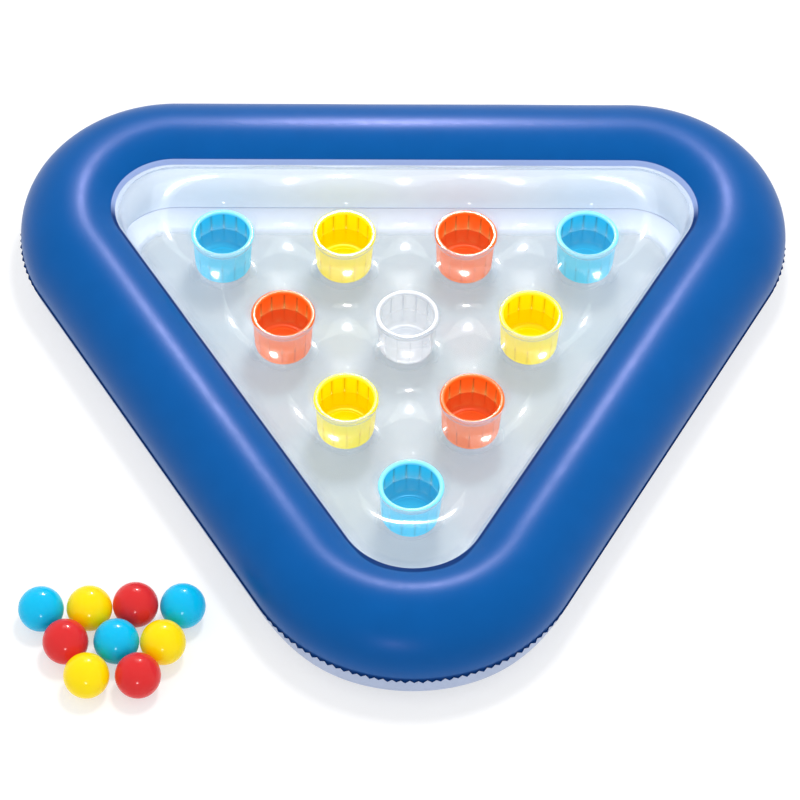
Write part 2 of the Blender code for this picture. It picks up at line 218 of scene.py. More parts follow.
def pass_light(shader, share, tint):
    """Show a shader that lets a share of the light for shadows through, with a tint."""
    shadow = node(shader.id_data, "ShaderNodeLightPath").outputs["Is Shadow Ray"]
    clear = node(shader.id_data, "ShaderNodeBsdfTransparent", {"Color": tint})
    show(mix_shader(times(shadow, share), shader, clear))


def rgb(colour, factor=1.0):
    return tuple(min(1.0, part * factor) for part in colour) + (1.0,)


def shader_of(name):
    made = bpy.data.materials.new(name)
    made.use_nodes = True
    tree = made.node_tree
    return made, tree, tree.nodes["Principled BSDF"]


def vinyl(name, colour, roughness, spread=0.05, skin_bump=0.12, tint=None, level=0.5, soft=0.0,
          hem=None, shade_tone=None, glow=0.0):
    """Moulded or welded vinyl: cloudy colour, uneven gloss, fine skin; hem colour, painted shade,
    painted glow.
    """
    made, tree, shader = shader_of(name)
    coords = object_coords(tree)
    tone = mix_colour(noise(coords, 22, 3.0), rgb(colour, 0.93), rgb(colour, 1.07))
    gloss = remap(noise(coords, 60), roughness - spread, roughness + spread)
    if hem:
        tone = mix_colour(attribute(tree, "hem"), tone, rgb(hem))
    # Painted shade: a dark tone and a rougher gloss where the painted shade mask is set
    if shade_tone:
        painted_shade = attribute(tree, "painted_shade")
        tone = mix_colour(painted_shade, tone, rgb(shade_tone))
        gloss = plus(gloss, times(painted_shade, 0.5))
    feed(shader, {"Base Color": tone, "Roughness": gloss, "Specular IOR Level": level,
                  "Normal": bump(coords, skin_bump, 0.0004, 900)})
    # Painted glow: emission in the surface's own tone, with no lamp behind it
    if glow:
        feed(shader, {"Emission Color": tone, "Emission Strength": glow})
    if tint:
        feed(shader, {"Specular Tint": rgb(tint)})
    if soft:
        feed(shader, {"Subsurface Weight": soft, "Subsurface Radius": (1.0, 0.8, 0.6),
                      "Subsurface Scale": 0.004})
    return made


def clear_film(name, colour, facing, edge, weld_share, roughness=0.11, shine=(0.0095, 0.08),
               weld_and_painted_tone=(0.72, 0.80, 0.93), glow=0.0, touch_shade_share=0.0):
    """Clear vinyl film: see-through head on, denser at a glancing angle and along the welds; the
    weld mask also carries painted light.
    """
    made, tree, shader = shader_of(name)
    coords = object_coords(tree)
    weld, touch = attribute(tree, "weld"), attribute(tree, "touch")
    # Weld tone: real welds, plus painted shade on the inner strip and painted light on the low
    # film's edge band
    tone = mix_colour(weld, rgb(colour), rgb(weld_and_painted_tone))
    glance = node(tree, "ShaderNodeLayerWeight", {"Blend": 0.5}).outputs["Facing"]
    glance = math_node("POWER", glance, 2.5)
    hazy = times(remap(glance, facing, edge), remap(noise(coords, 14, 3.0), 0.85, 1.15))
    # Weld lines make the welds denser; where the low film rests on the ground it is denser too, as
    # painted shade
    dense = plus(times(times(weld, weld_lines(tree, 0.7)), weld_share), times(touch, touch_shade_share))
    total = plus(hazy, dense)
    total.node.use_clamp = True
    wave = bump(coords, 0.15, 0.0006, 45, 2.0)
    feed(shader, {"Base Color": tone, "Alpha": total, "Roughness": 0.6,
                  "Specular IOR Level": 0.0, "Normal": wave})
    # Painted glow in the film's own tone
    if glow:
        feed(shader, {"Emission Color": tone, "Emission Strength": glow})
    gloss = node(tree, "ShaderNodeBsdfAnisotropic",
                 {"Color": WHITE, "Roughness": remap(touch, roughness, 0.5), "Normal": wave})
    pass_light(mix_shader(remap(times(glance, glance), *shine), shader, gloss), 0.92, WHITE)
    return made


def cup_vinyl(name, colour, inside, rim):
    """Translucent cup vinyl: painted shade in the creases and deep inside, paler lip, hatched neck,
    painted glow.
    """
    made, tree, shader = shader_of(name)
    coords = object_coords(tree)
    hatch = times(weld_lines(tree, 0.0), attribute(tree, "hatch"))
    tone = mix_colour(noise(coords, 40, 3.0), rgb(colour, 0.94), rgb(colour, 1.05))
    # Painted shade: the darker inside tone, growing deeper down the cup
    tone = mix_colour(attribute(tree, "deep_shade"), tone, rgb(inside))
    tone = mix_colour(attribute(tree, "lip"), tone, rgb(rim))
    tone = mix_colour(times(hatch, 0.07), tone, rgb(tuple(0.5 + part * 0.5 for part in colour)))
    # Painted shade along the creases
    tone = mix_colour(attribute(tree, "crease_shade"), tone, rgb(tuple(part * 0.45 for part in inside)))
    # Painted glow: emission in the cup's own tone, standing in for light through the thin walls
    feed(shader, {"Base Color": tone, "Roughness": remap(noise(coords, 80), 0.16, 0.26),
                  "Normal": bump(coords, 0.1, 0.0003, 700), "Specular IOR Level": 0.17,
                  "Subsurface Weight": 0.4, "Subsurface Radius": (1.0, 1.0, 1.0),
                  "Subsurface Scale": 0.006, "Emission Color": tone, "Emission Strength": 0.28})
    pass_light(shader, 0.55, rgb(tuple(0.4 + part * 0.6 for part in colour)))
    return made


def clear_cup(name):
    """Whitish clear cup vinyl with denser creases and lip, painted shade along the creases and a
    painted glow.
    """
    made, tree, shader = shader_of(name)
    crease_shade = attribute(tree, "crease_shade")
    pale = (0.86, 0.89, 0.95, 1.0)
    cloud = remap(noise(object_coords(tree), 40, 2.0), 0.25, 0.34)
    share = plus(plus(cloud, times(attribute(tree, "lip"), 0.3)), times(crease_shade, 0.25))
    share.node.use_clamp = True
    # Painted shade darkens the creases; the emission is a painted glow
    feed(shader, {"Base Color": mix_colour(crease_shade, pale, (0.45, 0.5, 0.6, 1.0)), "Alpha": share,
                  "Specular IOR Level": 0.15, "Roughness": 0.22, "Emission Color": pale,
                  "Emission Strength": 0.07})
    return made


# Meshes

def new_mesh(name, points, faces, material):
    mesh = bpy.data.meshes.new(name)
    mesh.from_pydata(np.asarray(points).tolist(), [], faces)
    mesh.materials.append(material)
    return mesh


def new_object(name, data):
    item = bpy.data.objects.new(name, data)
    bpy.context.collection.objects.link(item)
    return item


def piece(name, points, faces, material, body, node_name, attributes=None, at=(0, 0, 0),
          sharp=32):
    """Mesh object that rides on a body and stands for a CAD node. sharp is in degrees."""
    mesh = new_mesh(name, points, faces, material)
    for key, values in (attributes or {}).items():
        layer = mesh.attributes.new(key, "FLOAT", "POINT")
        layer.data.foreach_set("value", np.asarray(values, np.float32).ravel())
    mesh.shade_smooth()
    mesh.set_sharp_from_angle(angle=deg(sharp))
    item = new_object(name, mesh)
    item.location = at
    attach(item, body)
    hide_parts(node_name)


def grid_faces(rows, columns, wrap_rows=True):
    """Quads of a grid of points, row by row. Each row is a closed ring."""
    r, c = np.meshgrid(np.arange(rows if wrap_rows else rows - 1), np.arange(columns),
                       indexing="ij")
    r2, c2 = (r + 1) % rows, (c + 1) % columns
    return np.stack([r * columns + c, r2 * columns + c, r2 * columns + c2, r * columns + c2],
                    axis=-1).reshape(-1, 4)


def turned(table, turn):
    """Points of a profile of (radius, height) rows turned about Z."""
    return np.stack([table[:, 0, None] * np.cos(turn), table[:, 0, None] * np.sin(turn),
                     np.broadcast_to(table[:, 1, None], (len(table), len(turn)))], -1)


def full_turn(count):
    return 2 * math.pi * np.arange(count) / count


def close_ends(points, faces, around, low, high):
    """Turned surface closed by a point on the axis at each end."""
    start, end, last = len(points), len(points) + 1, len(points) - around
    for k in range(around):
        after = (k + 1) % around
        faces.append((start, after, k))
        faces.append((end, last + k, last + after))
    return np.concatenate([points, [[0, 0, low], [0, 0, high]]]), faces


# Ring plan

def side_normal(start, end):
    """Direction out of the side between two corners."""
    run_x, run_y = end[0] - start[0], end[1] - start[1]
    lean = math.asin((start[2] - end[2]) / math.hypot(run_x, run_y))
    return math.atan2(run_y, run_x) - math.pi / 2 + lean


def corner_rows(corner, first, turn, tooth_steps, run):
    """Stations round a corner, which holds a whole number of teeth."""
    x, y, radius = corner
    reach = radius + TUBE + FLANGE
    steps = round(reach * turn / TOOTH) * tooth_steps
    rows = []
    for step in range(steps + 1):
        share = step / steps
        angle = first + turn * share
        bend = min(1.0, min(share, 1 - share) * reach * turn / BEND_FADE)
        bend = bend * bend * (3 - 2 * bend)
        rows.append((x + radius * math.cos(angle), y + radius * math.sin(angle), math.cos(angle),
                     math.sin(angle), bend, 2 * math.pi * step / tooth_steps,
                     run + radius * turn * share))
    return rows


def side_rows(last, corner, straight, run):
    """Stations along the side from the last row of a corner to the next corner."""
    x, y, ox, oy = last[:4]
    ex, ey = corner[0] + corner[2] * ox, corner[1] + corner[2] * oy
    length = math.hypot(ex - x, ey - y)
    count = max(2, round(length / straight))
    rows = []
    for step in range(1, count):
        share = step / count
        rows.append((x + (ex - x) * share, y + (ey - y) * share, ox, oy, 0.0, 0.0,
                     run + length * share))
    return rows, length


def ring_plan(straight, tooth_steps):
    """Stations (x, y, out x, out y), bend share, tooth phase and run along the ring."""
    normals = [side_normal(CORNERS[k], CORNERS[(k + 1) % 3]) for k in range(3)]
    rows = []
    run = 0.0
    for k in range(3):
        turn = (normals[k] - normals[k - 1]) % (2 * math.pi)
        rows += corner_rows(CORNERS[k], normals[k - 1], turn, tooth_steps, run)
        run += CORNERS[k][2] * turn
        side, length = side_rows(rows[-1], CORNERS[(k + 1) % 3], straight, run)
        rows += side
        run += length
    return np.array(rows)


def tube(radius, angle, shift=0.0):
    """Distance out and height of the tube's section; shift is along the skin, upwards outside."""
    return (-radius * np.sin(angle) - shift * np.cos(angle),
            CENTRE_Z + radius * np.cos(angle) - shift * np.sin(angle))


def swell(x, y, z):
    """Slow unevenness of blown up vinyl, between -1 and 1."""
    return (np.sin(17 * x + 9 * y + 5 * z + 0.7) * 0.4 + np.sin(-23 * x + 31 * y + 1.9) * 0.3
            + np.sin(41 * x + 13 * y - 27 * z + 4.1) * 0.2
            + np.sin(67 * x - 53 * y + 19 * z + 2.2) * 0.1)


def place(plan, out, height):
    """Points at (outward, height) arrays of shape (stations, section)."""
    x = plan[:, 0, None] + plan[:, 2, None] * out
    y = plan[:, 1, None] + plan[:, 3, None] * out
    return np.stack([x, y, np.broadcast_to(height, x.shape)], axis=-1)


def smooth(value):
    value = np.clip(value, 0, 1)
    return value * value * (3 - 2 * value)


def bell(gap, width):
    return np.exp(-(gap / width) ** 2)


def distance(points, x, y):
    return np.hypot(points[:, 0] - x, points[:, 1] - y)


def sides_share(plan):
    """1 along the sides and the front corner, 0 along the back."""
    return smooth((0.15 - plan[:, 3]) / 0.4)[:, None]


def front_share(plan):
    """How much each station belongs to the sides (a little) and the front corner (fully)."""
    return 0.35 * smooth(-plan[:, 3] / 0.5) + 0.65 * smooth((-plan[:, 3] - 0.55) / 0.4)


def lowered(plan, angles, seam):
    """Section angles with the outer seam let down towards the front corner."""
    return angles - LET_DOWN * front_share(plan)[:, None] * bell(angles - seam, deg(35))


def filled(plan, nominal):
    """Radius of the tube below the seam, fuller towards the front corner."""
    sag = bell(nominal - deg(238), deg(26)) * smooth((LOW_SEAM - nominal) / deg(14))
    return TUBE + FRONT_FILL * front_share(plan)[:, None] * sag


def flattened(plan, out, height):
    """Skin with the flat place that the ring's valve is welded to."""
    pad, fade = 0.026, 0.013
    points = place(plan, out, height)
    far = np.hypot(points[..., 0] - VALVE_X, points[..., 2] - CENTRE_Z)
    back = (plan[:, 3, None] > 0.99) & (far < pad) & (out > FLAT_REACH)
    flat = smooth((pad - far) / fade)
    return np.where(back, FLAT_REACH * flat + out * (1 - flat), out)


def skin(plan, nominal, upper):
    """Outer skin of the tube with its unevenness, seam puckers and weld groove."""
    seam = SEAM if upper else LOW_SEAM
    angles = lowered(plan, nominal, seam)
    out, height = tube(TUBE if upper else filled(plan, nominal), angles)
    points = place(plan, out, height)
    rise = SWELL * (swell(points[..., 0], points[..., 1], points[..., 2]) - 1)
    near = np.abs(nominal - seam) * TUBE
    tooth = np.cos(plan[:, 5]) * plan[:, 4]
    rise = (rise * smooth(near / SWELL_FADE)
            + PUCKER * tooth[:, None] * np.exp(-near / PUCKER_REACH))
    if upper:
        rise = rise - HEM_GROOVE * bell(angles - HEM, deg(0.6))
    out += -np.sin(angles) * rise
    height += np.cos(angles) * rise
    return (flattened(plan, out, height) if upper else out), height


def spaced(first, last, step, extra=()):
    """Even steps from first to last, with extra angles in degrees among them, in order."""
    count = max(2, round(abs(last - first) / step))
    values = set(np.round(np.linspace(first, last, count + 1), 6))
    return np.array(sorted(values | set(np.round(np.radians(extra), 6))))


def tooth_wave(plan, amount):
    """Jagged edge of the seam in the corners, where the flat flange is gathered."""
    wave = np.cos(plan[:, 5]) * 0.8 + 0.2 * np.cos(plan[:, 5] * 0.5 + plan[:, 6] * 40)
    return (plan[:, 4] * wave * amount)[:, None]


def flange(plan, seam, reach, side):
    """Edges of a sheet's half of the seam's flange, above the seam (side 1) or below it (-1)."""
    reach = reach + tooth_wave(plan, TOOTH_OUT)
    edges = [tube(reach, seam, side * gap) for gap in (SEAM_GAP, SEAM_GAP + SHEET)]
    return [(out, height - tooth_wave(plan, TOOTH_LIFT)) for out, height in edges]


def section(plan, *parts):
    """Points of a closed section from its (outward, height) parts."""
    return place(plan, *(np.concatenate(values, 1) for values in zip(*parts)))


def ring_piece(name, plan, points, material, node_name, attributes):
    count = points.shape[1]
    attributes["run"] = np.repeat(plan[:, 6], count)
    piece(name, points.reshape(-1, 3), grid_faces(len(plan), count)[:, ::-1].tolist(), material,
          "float", node_name, attributes, sharp=35)


def ring_top(plan):
    """Blue sheet: outer skin, lining, and its half of the seam's flange."""
    outer = spaced(SEAM, WELD, deg(3.6), [31, 33, 35, 37, 39, 41, 43, 44, 44.6, 45.1, 45.6, 46,
                                          46.4, 47, 48, 50.8, 51.5, -99, -97.5, -95.5, -94, -92.5])
    inner = spaced(WELD, SEAM, deg(10))[::-1]
    seam = lowered(plan, np.array([SEAM]), SEAM)
    points = section(plan, skin(plan, outer, True), tube(LINING, lowered(plan, inner, SEAM)),
                     tube(TUBE, seam, SEAM_GAP), *flange(plan, seam, TUBE + FLANGE, 1))
    count = points.shape[1]
    hem, painted_shade = np.zeros((len(plan), count)), np.zeros((len(plan), count))
    hem[:, :len(outer)] = smooth((outer - HEM) / deg(0.8))
    # Painted shade mask: along the inner hem on the sides and front, from a lower angle at the
    # front, and along the skin's lower brink by the seam
    start = deg(43) - deg(12) * smooth((-plan[:, 3] - 0.6) / 0.35)[:, None]
    brink_shade = 0.85 * smooth((deg(-93) - outer) / deg(4))
    painted_shade[:, :len(outer)] = np.maximum(sides_share(plan) * smooth((outer - start) / deg(4)), brink_shade)
    # Painted shade over the seam and its flange
    painted_shade[:, len(outer) + len(inner):] = 0.8
    ring_piece("ring_top_skin", plan, points, ring_blue, "ring_top_sheet",
               {"hem": hem, "painted_shade": painted_shade})


def ring_bottom(plan):
    """White sheet under the ring: outer skin, lining, flat foot and its half of the flange."""
    outer = spaced(LOW_WELD, LOW_SEAM - deg(1.2), deg(4.5), [172, 188])
    out, height = skin(plan, outer, False)
    inner = spaced(LOW_WELD, LOW_SEAM, deg(10))[::-1]
    in_out, in_height = tube(LINING, lowered(plan, inner, LOW_SEAM))
    seam = lowered(plan, np.array([LOW_SEAM]), LOW_SEAM)
    upper, lower = flange(plan, seam, TUBE + FLANGE - 0.0002, -1)
    points = section(plan, (out, np.maximum(height, 0.0)), tube(TUBE, seam, -SEAM_GAP - SHEET),
                     lower, upper, tube(TUBE - SHEET, seam, -SEAM_GAP),
                     (in_out[:, 1:], np.maximum(in_height, SHEET)[:, 1:]))
    ring_piece("ring_bottom_skin", plan, points, ring_white, "ring_bottom_sheet", {})


def ring_wall(plan):
    """Strip between the two airs, with painted shade in its upper part along the sides and front,
    and at its ends.
    """
    angles = spaced(deg(47), deg(135), deg(5), [52, 130])
    radius = TUBE - 0.0012
    parts = tube(radius, angles), tube(radius - FILM, angles[::-1])
    out, height = (np.concatenate(values) for values in zip(*parts))
    # Painted shade mask, kept in the weld mask: the upper part along the sides and front, and the
    # ends
    upper = smooth((deg(74) - np.concatenate([angles, angles[::-1]])) / deg(8))
    end_shade = 0.3 * smooth((np.abs(plan[:, 2]) - 0.2) / 0.5)[:, None]
    ring_piece("ring_inner_strip", plan, place(plan, out, height), wall_white, "ring_inner_wall",
               {"weld": np.maximum(sides_share(plan) * upper, end_shade)})


# Mattress films

def cup_places():
    """Middle of each cup's node, seen from above."""
    found = {}
    for name in frame["nodes"]:
        if name.startswith("cup_"):
            low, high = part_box(name)
            found[name] = ((low[0] + high[0]) / 2, (low[1] + high[1]) / 2)
    return found


def circle(x, y, radius, count):
    turn = full_turn(count)
    return np.stack([x + radius * np.cos(turn), y + radius * np.sin(turn)], 1)


def relax(apply, diagonal, pull, heights, free):
    """Heights at which the free points balance, by conjugate gradients."""
    rest = np.where(free, pull - apply(heights), 0.0)
    scaled = rest / diagonal
    way = scaled.copy()
    gain = rest @ scaled
    goal = gain * 1e-12
    for _ in range(600):
        moved = np.where(free, apply(way), 0.0)
        step = gain / (way @ moved)
        heights = heights + step * way
        rest = rest - step * moved
        scaled = rest / diagonal
        fresh = rest @ scaled
        if fresh < goal:
            break
        way = scaled + fresh / gain * way
        gain = fresh
    return heights


def solve_film(points, triangles, heights, fixed, load, floor=None, tie=None):
    """Heights of a blown up film between its fixed points. tie is a stiffness and a height."""
    corners = points[triangles]
    edges = corners[:, [2, 0, 1]] - corners[:, [1, 2, 0]]
    area = np.abs(edges[:, 0, 0] * edges[:, 1, 1] - edges[:, 0, 1] * edges[:, 1, 0]) / 2
    local = np.einsum("tid,tjd->tij", edges, edges) / (4 * area[:, None, None])

    def gather(values):
        return np.bincount(triangles.ravel(), values.ravel(), len(points))

    spring = gather(np.repeat(area / 3, 3)) * tie[0] if tie else np.zeros(len(points))
    pull = gather(np.repeat(load * area / 3, 3)) + spring * (tie[1] if tie else 0)
    held = fixed.copy()
    for turn in range(6):
        bent = np.einsum("tij,tj->ti", local, heights[triangles])
        slope = np.maximum(np.einsum("ti,ti->t", bent, heights[triangles]) / area, 0)
        weight = 1 / np.sqrt(1 + slope) if turn else np.ones(len(triangles))
        stiff = local * weight[:, None, None]

        def apply(values):
            return gather(np.einsum("tij,tj->ti", stiff, values[triangles])) + spring * values

        diagonal = spring + gather(np.einsum("tii->ti", stiff))
        for _ in range(3 if floor is not None else 1):
            heights = relax(apply, diagonal, pull, heights, ~held)
            if floor is not None:
                below = (heights < floor) & ~fixed
                heights = np.where(below, floor, heights)
                force = apply(heights) - pull
                held = fixed | ((held | below) & (heights <= floor + 1e-9) & (force > 0))
    return heights


def depth_inside(points, loop):
    """How far points lie inside a convex loop of stations."""
    gap = ((points[:, None, 0] - loop[None, :, 0]) * loop[None, :, 2]
           + (points[:, None, 1] - loop[None, :, 1]) * loop[None, :, 3])
    return -gap.max(axis=1)


def tie_lines(points, places):
    """Share of pull at each point from the straight folds between neighbouring cups."""
    share = np.zeros(len(points))
    for k, (x, y, _) in enumerate(places):
        for other_x, other_y, _ in places[k + 1:]:
            way = np.array([other_x - x, other_y - y])
            length = np.hypot(*way)
            if length > NEXT_CUP:
                continue
            gap = points - [x, y]
            along = np.clip(gap @ way / length, 0, length)
            off = np.hypot(gap[:, 0] - along * way[0] / length, gap[:, 1] - along * way[1] / length)
            middle = 1 - np.abs(2 * along / length - 1)
            share = np.maximum(share, bell(off, TIE_WIDTH) * smooth(middle * 1.6))
    return share


def lattice(loop, rings, spacing):
    """Even points inside the loop, clear of it and of the rings."""
    far = max(np.abs(loop[:, 0]).max(), np.abs(loop[:, 1]).max()) + spacing
    rise = spacing * math.sqrt(3) / 2
    clear = spacing * 0.6
    rows = np.arange(-int(far / rise), int(far / rise) + 1)
    columns = np.arange(-int(far / spacing), int(far / spacing) + 1)
    r, c = np.meshgrid(rows, columns, indexing="ij")
    points = np.stack([(spacing * (c + (r % 2) / 2)).ravel(), (rise * r).ravel()], 1)
    keep = depth_inside(points, loop) > clear
    for x, y, radius, _, _ in rings:
        keep &= distance(points, x, y) > radius + clear
    return points[keep]


def film_points(loop, loop_z, rings, spots, spacing):
    """Points of a film from above, their known heights (or nan), and the edges to keep."""
    flat = [loop[:, :2]]
    known = [np.full(len(loop), loop_z)]
    edges = [(k, (k + 1) % len(loop)) for k in range(len(loop))]
    start = len(loop)
    for x, y, radius, count, height in rings:
        flat.append(circle(x, y, radius, count))
        known.append(np.full(count, np.nan if height is None else height))
        if height is not None:
            edges += [(start + k, start + (k + 1) % count) for k in range(count)]
        start += count
    for x, y, height in spots:
        flat.append(np.array([[x, y]]))
        known.append(np.array([height]))
    flat.append(lattice(loop, rings, spacing))
    known.append(np.full(len(flat[-1]), np.nan))
    return np.concatenate(flat), np.concatenate(known), edges


def film_mesh(loop, loop_z, rings, spots, openings, load, spacing, edge_load=0.0, floor=None,
              ties=None):
    """Points, triangles and loop indices of a film. rings are (x, y, radius, count, height)."""
    flat, known, edges = film_points(loop, loop_z, rings, spots, spacing)
    plan, _, faces, sources, _, _ = delaunay_2d_cdt(
        [Vector(p) for p in flat.tolist()], edges, [], 1, 1e-7)
    points = np.array([tuple(p) for p in plan])
    source = np.array([s[0] if s else -1 for s in sources])
    heights = np.where(source >= 0, known[source], np.nan)
    fixed = ~np.isnan(heights)
    triangles = np.array([list(f) for f in faces if len(f) == 3])
    middle = points[triangles].mean(axis=1)
    keep = np.ones(len(triangles), bool)
    for x, y, radius in openings:
        keep &= distance(middle, x, y) > radius
    triangles, middle = triangles[keep], middle[keep]
    push = load + edge_load * bell(depth_inside(middle, loop), TOP_EDGE_REACH)
    if ties:
        ties = (ties[0] * tie_lines(points, openings), ties[1])
    heights = solve_film(points, triangles, np.where(fixed, heights, loop_z), fixed, push,
                         floor, ties)
    order = np.full(len(flat), -1)
    order[source[source >= 0]] = np.nonzero(source >= 0)[0]
    return np.column_stack([points, heights]), triangles, order[:len(loop)]


def shell(points, triangles, thickness):
    """Closed sheet from an open surface: its two skins and the walls along its edges."""
    a, b, c = (points[triangles[:, k]] for k in range(3))
    normal = np.cross(b - a, c - a)
    down = normal[:, 2] < 0
    triangles = triangles.copy()
    triangles[down] = triangles[down][:, ::-1]
    normal[down] *= -1
    total = np.zeros_like(points)
    for k in range(3):
        for axis in range(3):
            total[:, axis] += np.bincount(triangles[:, k], normal[:, axis], len(points))
    total /= np.linalg.norm(total, axis=1)[:, None]
    count = len(points)
    solid = np.concatenate([points + total * thickness / 2, points - total * thickness / 2])
    directed = np.concatenate([triangles[:, [0, 1]], triangles[:, [1, 2]], triangles[:, [2, 0]]])
    key = directed[:, 0] * count + directed[:, 1]
    back = directed[:, 1] * count + directed[:, 0]
    walls = [(b, a, a + count, b + count) for a, b in directed[~np.isin(key, back)].tolist()]
    return solid, triangles.tolist() + (triangles[:, ::-1] + count).tolist() + walls


def film_loop(plan, radius, angle):
    """Stations where a film leaves the tube, and their height."""
    out, height = tube(radius, angle)
    loop = plan[:, :4].copy()
    loop[:, :2] += loop[:, 2:] * out
    return loop, height


def lapped(plan, points, triangles, edge, lines):
    """Film carried on along the tube from its edge, by lines of (radius, degrees)."""
    nxt = np.roll(np.arange(len(edge)), -1)
    for radius, degrees in lines:
        after = np.arange(len(plan)) + len(points)
        points = np.concatenate([points, place(plan, *tube(radius, deg(degrees)))[:, 0]])
        triangles = np.concatenate([triangles, np.stack([edge, after, after[nxt]], 1),
                                    np.stack([edge, after[nxt], edge[nxt]], 1)])
        edge = after
    return points, triangles


def film_piece(name, plan, film, lines, attributes, material, node_name):
    """Closed sheet of a film and of its lap along the tube."""
    points, triangles, edge = film
    attributes["run"][edge] = plan[:, 6]
    points, triangles = lapped(plan, points, triangles, edge, lines)
    used = np.unique(triangles)
    order = np.full(len(points), -1)
    order[used] = np.arange(len(used))
    solid, faces = shell(points[used], order[triangles], FILM)
    lap = {"weld": np.ones(len(plan)), "run": plan[:, 6], "touch": np.zeros(len(plan))}
    for key, values in attributes.items():
        values = np.concatenate([values] + [lap[key]] * len(lines))
        attributes[key] = np.tile(values[used], 2)
    piece(name, solid, faces, material, "float", node_name, attributes, sharp=60)


def front_folds(points, x, y):
    """Low folds of the clear film in front of the cup at x, y."""
    rise, away, width = 0.0008, 0.074, 0.016
    turn = np.arctan2(points[:, 0] - x, y - points[:, 1])
    fold = rise * np.cos(5 * turn) * bell(distance(points, x, y) - away, width)
    points[:, 2] += fold * smooth(2 - np.abs(turn))


def top_film(plan, cups):
    """Clear film over the mattress, welded round each cup and quilted between the cups."""
    loop, height = film_loop(plan, TUBE - 0.0001, TOP_EDGE)
    rings = []
    for x, y in cups.values():
        rings.append((x, y, HOLE_R, 84, FILM_Z))
        for more, count in ((0.0012, 84), (0.0030, 84), (0.0055, 84), (0.009, 84), (0.0135, 70),
                            (0.019, 70)):
            rings.append((x, y, HOLE_R + more, count, None))
    openings = [(x, y, HOLE_R) for x, y in cups.values()]
    film = film_mesh(loop, height, rings, [], openings, TOP_LOAD, TOP_SPACING, TOP_EDGE_LOAD,
                     ties=(TOP_TIE, TIE_Z))
    points, _, edge = film
    front_folds(points, *cups["cup_41_blue"])
    weld, run = np.zeros(len(points)), np.zeros(len(points))
    width = 0.0035
    for x, y in cups.values():
        gap = distance(points, x, y)
        near = gap < HOLE_R + width
        weld[near] = 0.45 * np.clip(1 - (gap[near] - HOLE_R) / width, 0, 1)
        run[near] = np.arctan2(points[near, 1] - y, points[near, 0] - x) * HOLE_R
    weld[edge] = 1.0
    film_piece("mattress_top_film", plan, film, TOP_LAP,
               {"weld": weld, "run": run, "touch": np.zeros(len(points))}, film_clear,
               "mattress_top_sheet")


def low_film(plan, cups):
    """Clear film under the mattress, welded under each cup and resting on the ground between, with
    painted light along its edge band and painted shade where it rests.
    """
    radius = TUBE + 0.0004
    loop, height = film_loop(plan, radius, LOW_WELD)
    level = BASE_Z - 2 * FILM
    rings = []
    for x, y in cups.values():
        for share, count in ((1, 56), (0.75, 40), (0.4, 24)):
            rings.append((x, y, BASE_R * share, count, level))
        for more in (0.0015, 0.004, 0.008, 0.013):
            rings.append((x, y, BASE_R + more, 56, None))
    spots = [(x, y, level) for x, y in cups.values()]
    seat_z = CENTRE_Z + TUBE * 1.0037 * math.cos(LOW_WELD)
    for valve_r in (VALVE_HOLE_R, VALVE_WELD_R):
        rings.append((0.0, LOW_VALVE_Y, valve_r, 32, seat_z))
    openings = [(0.0, LOW_VALVE_Y, VALVE_HOLE_R)]
    film = film_mesh(loop, height, rings, spots, openings, LOW_LOAD, LOW_SPACING, floor=LOW_REST)
    points = film[0]
    weld = np.zeros(len(points))
    for x, y in cups.values():
        weld[np.abs(distance(points, x, y) - BASE_R) < 0.003] = 0.2
    depth = depth_inside(points, loop)
    # Painted light: a paler, denser band near the edge, for light the steep film catches
    attributes = {"weld": np.maximum(weld, smooth((0.036 - depth) / 0.010)),
                  # Where the film rests on the ground: rougher there, and denser as painted shade
                  "run": np.zeros(len(points)), "touch": smooth((depth - 0.030) / 0.02)}
    film_piece("mattress_bottom_film", plan, film, [(radius, 135)], attributes, film_low,
               "mattress_bottom_sheet")


# Cups

def quarter(count, first=0.0):
    """Shares of a quarter turn, each with what is left (1 - sin) and what is gone (1 - cos)."""
    for share in np.linspace(first, 1, count):
        bend = share * math.pi / 2
        yield share, 1 - math.sin(bend), 1 - math.cos(bend)


